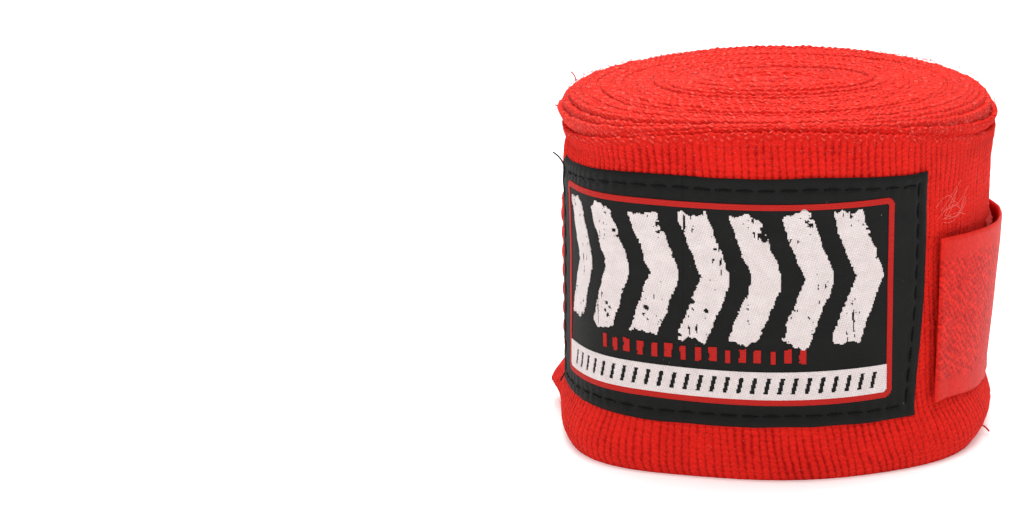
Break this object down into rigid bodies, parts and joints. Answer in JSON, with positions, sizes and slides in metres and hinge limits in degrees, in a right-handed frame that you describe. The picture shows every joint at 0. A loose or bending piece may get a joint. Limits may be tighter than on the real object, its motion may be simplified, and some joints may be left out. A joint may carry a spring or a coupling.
{
  "type": "rolled hand wrap",
  "caption": "Long red woven hand wrap rolled into a short cylinder, with a woven label on its free end and a narrow hook strip wrapped round to close it.",
  "frame": {"origin": "centre of the resting face, on the roll's axis", "axes": "+Z along the roll's axis, up from the face it stands on; the label looks along -Y; +X is towards the strip's free end"},
  "size_m": [0.0675, 0.0673, 0.05],
  "materials": {
    "tape": "matte",
    "thumb_loop_tape": "matte",
    "loop_pile": "matte",
    "red_thread": "satin",
    "black_thread": "satin",
    "label_cloth": "matte",
    "label_red": "satin",
    "label_white": "satin",
    "hook_strip_webbing": "satin",
    "hooks": "satin"
  },
  "bodies": {
    "roll": {"tape_roll": "tape", "thumb_loop": "thumb_loop_tape", "thumb_loop_stitching": "red_thread", "loop_patch": "loop_pile", "loop_patch_stitching": "red_thread"},
    "tail_1": {"tape_tail_1": "tape", "label_cloth_1": "label_cloth", "label_red_threads_1": "label_red", "label_white_threads_1": "label_white", "label_stitching_1": "black_thread"},
    "tail_2": {"tape_tail_2": "tape", "label_cloth_2": "label_cloth", "label_red_threads_2": "label_red", "label_white_threads_2": "label_white", "label_stitching_2": "black_thread"},
    "tail_3": {"tape_tail_3": "tape", "label_cloth_3": "label_cloth", "label_red_threads_3": "label_red", "label_white_threads_3": "label_white", "label_stitching_3": "black_thread", "hook_strip_root": "hook_strip_webbing", "strip_stitching": "red_thread"},
    "strip_1": {"hook_strip_1": "hook_strip_webbing", "hooks_1": "hooks"},
    "strip_2": {"hook_strip_2": "hook_strip_webbing", "hooks_2": "hooks"},
    "strip_3": {"hook_strip_3": "hook_strip_webbing", "hooks_3": "hooks"},
    "strip_4": {"hook_strip_4": "hook_strip_webbing", "hooks_4": "hooks"},
    "strip_tip": {"hook_strip_tip": "hook_strip_webbing", "hooks_tip": "hooks"}
  },
  "joints": [
    {"name": "unroll", "type": "hinge", "parent": "roll", "child": "tail_1", "pos_m": [0.03033, -0.01164, 0.025], "axis": [0, 0, 1], "range_deg": [0, 60]},
    {"name": "tail_bend_2", "type": "hinge", "parent": "tail_1", "child": "tail_2", "pos_m": [0.00575, -0.03258, 0.025], "axis": [0, 0, 1], "range_deg": [0, 66]},
    {"name": "tail_bend_3", "type": "hinge", "parent": "tail_2", "child": "tail_3", "pos_m": [-0.0271, -0.01898, 0.025], "axis": [0, 0, 1], "range_deg": [0, 57]},
    {"name": "strip_bend_1", "type": "hinge", "parent": "tail_3", "child": "strip_1", "pos_m": [-0.03071, 0.01241, 0.025], "axis": [0, 0, 1], "range_deg": [0, 51]},
    {"name": "strip_bend_2", "type": "hinge", "parent": "strip_1", "child": "strip_2", "pos_m": [-0.01169, 0.03212, 0.025], "axis": [0, 0, 1], "range_deg": [0, 51]},
    {"name": "strip_bend_3", "type": "hinge", "parent": "strip_2", "child": "strip_3", "pos_m": [0.01605, 0.03018, 0.025], "axis": [0, 0, 1], "range_deg": [0, 51]},
    {"name": "strip_bend_4", "type": "hinge", "parent": "strip_3", "child": "strip_4", "pos_m": [0.03317, 0.00827, 0.025], "axis": [0, 0, 1], "range_deg": [0, 51]},
    {"name": "tab_lift", "type": "hinge", "parent": "strip_4", "child": "strip_tip", "pos_m": [0.03072, -0.01499, 0.025], "axis": [0, 0, 1], "range_deg": [0, 55]}
  ],
  "couplings": [
    {"joint": "tail_bend_2", "follows": "unroll", "ratio": 1.1},
    {"joint": "tail_bend_3", "follows": "unroll", "ratio": 0.95},
    {"joint": "strip_bend_1", "follows": "unroll", "ratio": 0.85},
    {"joint": "strip_bend_2", "follows": "unroll", "ratio": 0.85},
    {"joint": "strip_bend_3", "follows": "unroll", "ratio": 0.85},
    {"joint": "strip_bend_4", "follows": "unroll", "ratio": 0.85}
  ]
}
